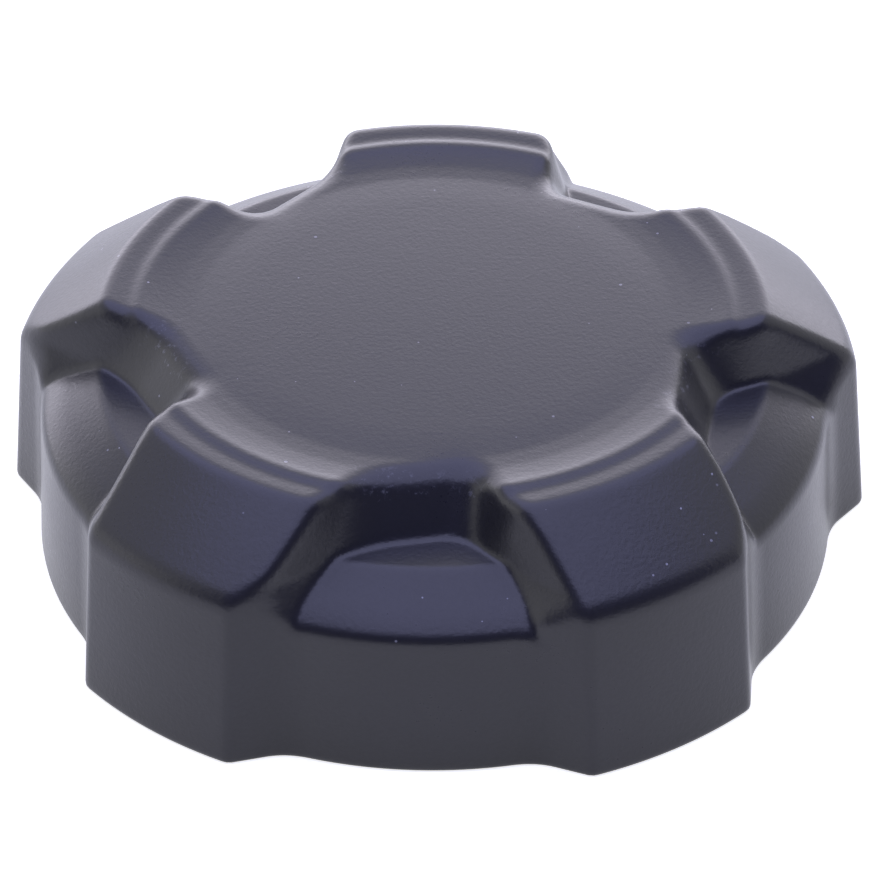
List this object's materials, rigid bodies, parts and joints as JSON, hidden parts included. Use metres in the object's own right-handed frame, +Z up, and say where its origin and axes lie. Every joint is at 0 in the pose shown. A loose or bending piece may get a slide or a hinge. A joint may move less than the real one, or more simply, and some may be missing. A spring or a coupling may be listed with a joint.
{
  "type": "fuel filler cap",
  "caption": "Round black plastic fuel filler cap with a lobed hand grip, a threaded over-neck closure, a ratchet drive and a sprung two-way vent valve.",
  "frame": {"origin": "on the cap's axis, in the plane of its bottom rim, at the mouth of the closure that goes over the filler neck", "axes": "+Z up along the cap's axis, out of the tank; +Y through the middle of one lobe, away from the side that the picture shows"},
  "size_m": [0.0842, 0.081, 0.0251],
  "materials": {
    "cover_plastic": "fine-grained black moulding, semi-matte, lightly dusty",
    "closure_plastic": "smooth black moulding",
    "housing_plastic": "natural off-white moulding",
    "acetal": "natural white low-friction moulding",
    "gasket_rubber": "smooth black fuel-resistant rubber",
    "valve_rubber": "brown fuel-resistant rubber",
    "valve_brass": "stamped and turned",
    "spring_steel": "bright stainless spring steel",
    "foam": "open-cell foam"
  },
  "bodies": {
    "cover_body": {"cover": "cover_plastic", "retaining_ring": "acetal"},
    "closure_body": {"closure": "closure_plastic", "neck_gasket": "gasket_rubber", "slip_washer": "acetal", "ratchet_hub": "acetal", "pawl_spring": "spring_steel", "valve_housing": "housing_plastic", "housing_seal": "gasket_rubber", "spring_cap": "housing_plastic", "splash_baffle": "housing_plastic", "dust_filter": "foam", "pressure_spring": "spring_steel"},
    "pressure_valve": {"pressure_plate": "valve_brass", "pressure_seal": "valve_rubber", "vacuum_spring": "spring_steel"},
    "vacuum_poppet": {"vacuum_valve": "valve_brass", "vacuum_seal": "valve_rubber", "stem_collar": "valve_brass"}
  },
  "joints": [
    {"name": "ratchet_turn", "type": "hinge", "parent": "cover_body", "child": "closure_body", "pos_m": [0, 0, 0.01], "axis": [0, 0, 1], "continuous": true, "deforming": ["pawl_spring"]},
    {"name": "pressure_lift", "type": "slide", "parent": "closure_body", "child": "pressure_valve", "axis": [0, 0, 1], "range_m": [0, 0.003], "stiffness_N_per_m": 400, "springref_m": -0.004, "deforming": ["pressure_spring"]},
    {"name": "vacuum_drop", "type": "slide", "parent": "pressure_valve", "child": "vacuum_poppet", "axis": [0, 0, -1], "range_m": [0, 0.0018], "stiffness_N_per_m": 60, "springref_m": -0.006, "deforming": ["vacuum_spring"]}
  ]
}
